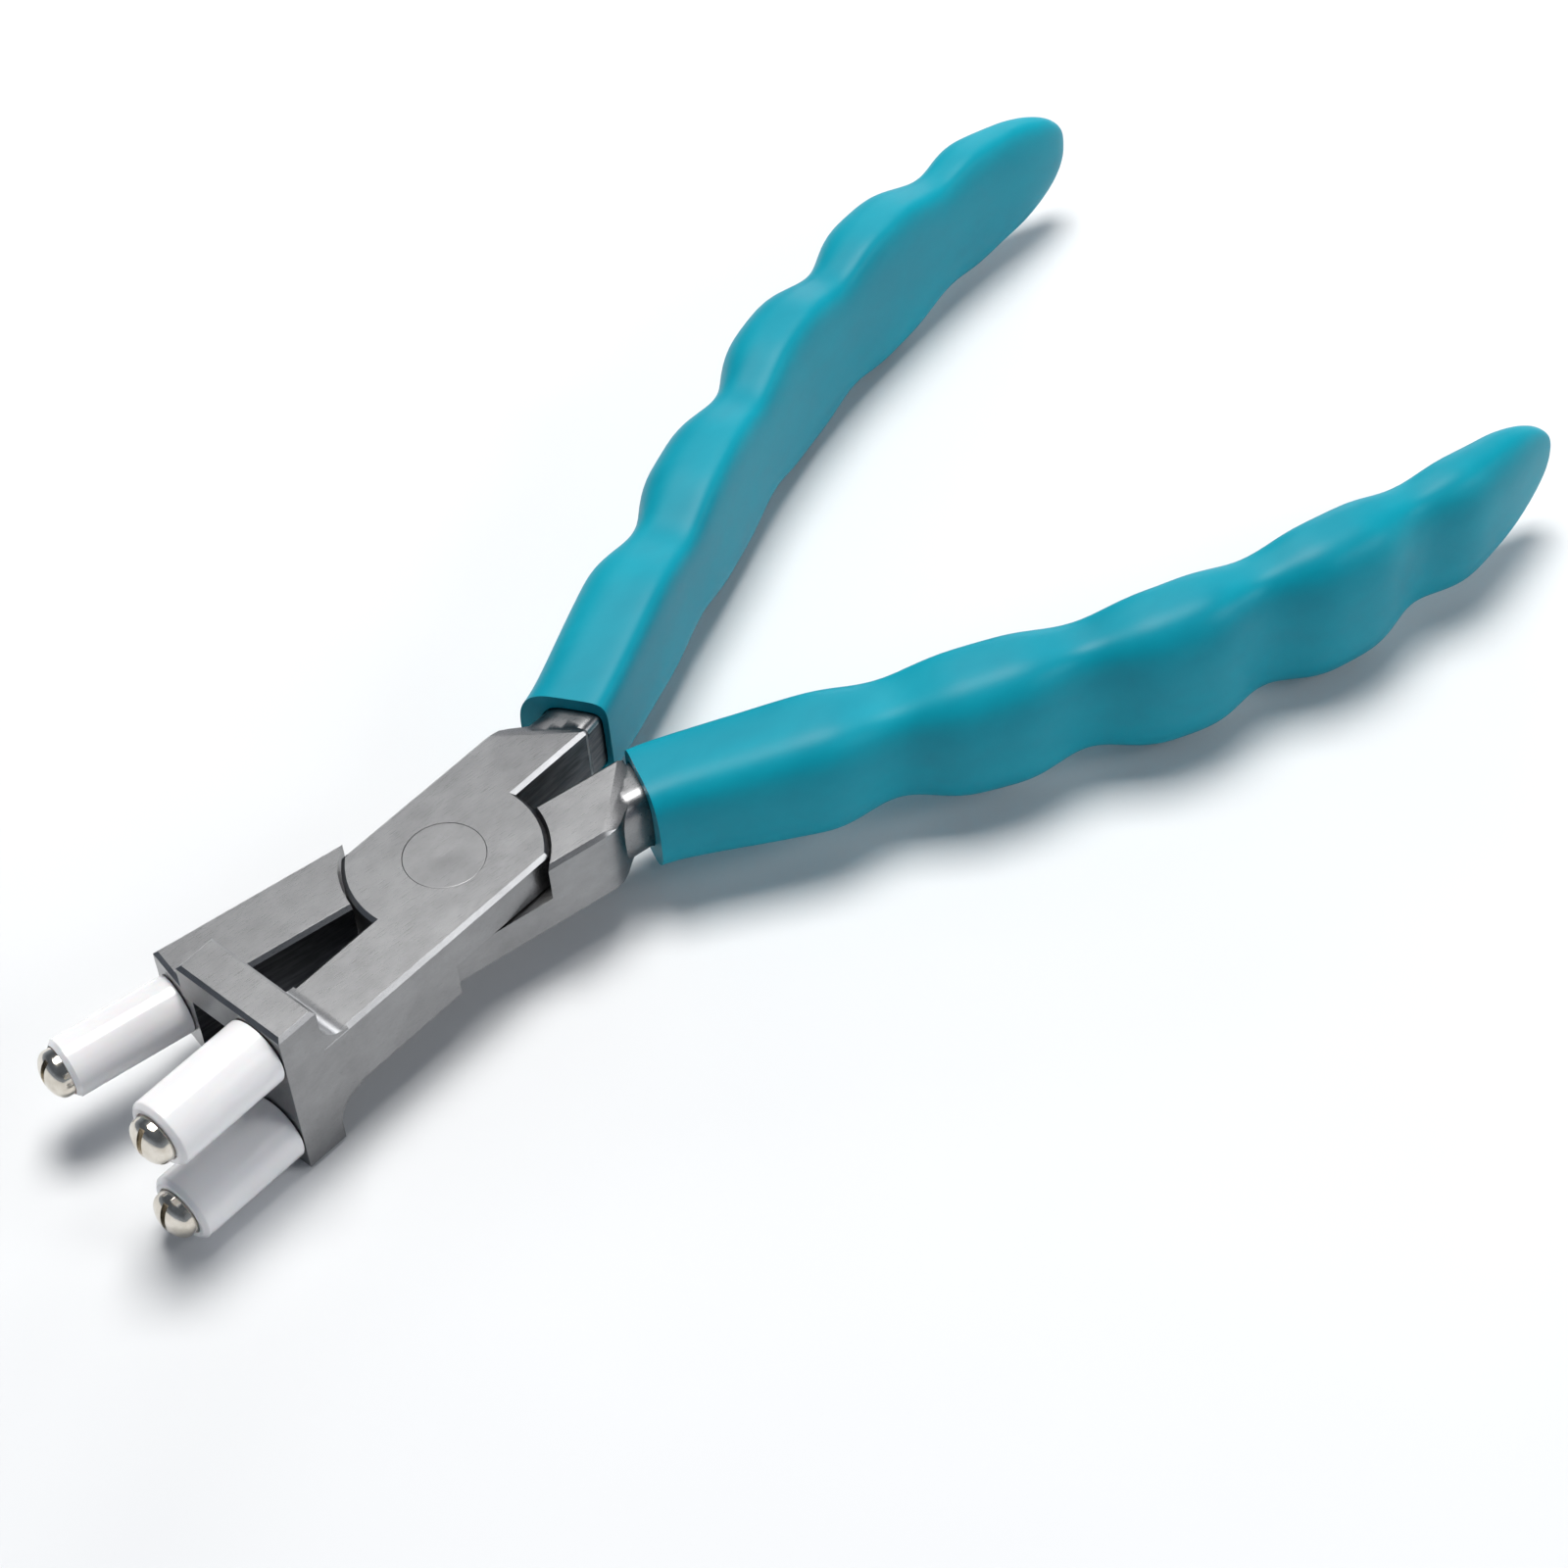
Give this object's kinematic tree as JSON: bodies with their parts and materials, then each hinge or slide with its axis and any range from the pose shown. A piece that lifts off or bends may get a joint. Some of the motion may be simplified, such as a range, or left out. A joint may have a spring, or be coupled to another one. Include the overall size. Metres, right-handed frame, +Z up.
{
  "type": "three-post forming pliers",
  "caption": "Hand pliers with a lap joint, one nylon post on one jaw facing a stacked pair of nylon posts on a tall head, and moulded finger-grooved grips.",
  "frame": {"origin": "middle of the underside of the whole tool's box, open as it is shown; the underside is the lower face of the two-post head", "axes": "+X from the handles to the nose, +Y to the one-post half's handle side, +Z up along the pivot"},
  "size_m": [0.156, 0.0766, 0.0192],
  "materials": {
    "forged_steel": "satin ground",
    "rivet_steel": "satin ground flush",
    "core_steel": "turned",
    "nickel_plate": "polished nickel",
    "white_nylon": "smooth turned nylon",
    "teal_vinyl": "soft satin moulded vinyl"
  },
  "bodies": {
    "two_post_half": {"two_post_half_forging": "forged_steel", "pivot_rivet": "rivet_steel", "two_post_half_grip": "teal_vinyl", "upper_post_core_pin": "core_steel", "upper_post_nylon_sleeve": "white_nylon", "upper_post_retaining_screw": "nickel_plate", "lower_post_core_pin": "core_steel", "lower_post_nylon_sleeve": "white_nylon", "lower_post_retaining_screw": "nickel_plate"},
    "one_post_half": {"one_post_half_forging": "forged_steel", "one_post_half_grip": "teal_vinyl", "single_post_core_pin": "core_steel", "single_post_nylon_sleeve": "white_nylon", "single_post_retaining_screw": "nickel_plate"}
  },
  "joints": [
    {"name": "pivot", "type": "hinge", "parent": "two_post_half", "child": "one_post_half", "pos_m": [0.03699, 0, 0.0096], "axis": [0, 0, 1], "range_deg": [-66, 12]}
  ]
}
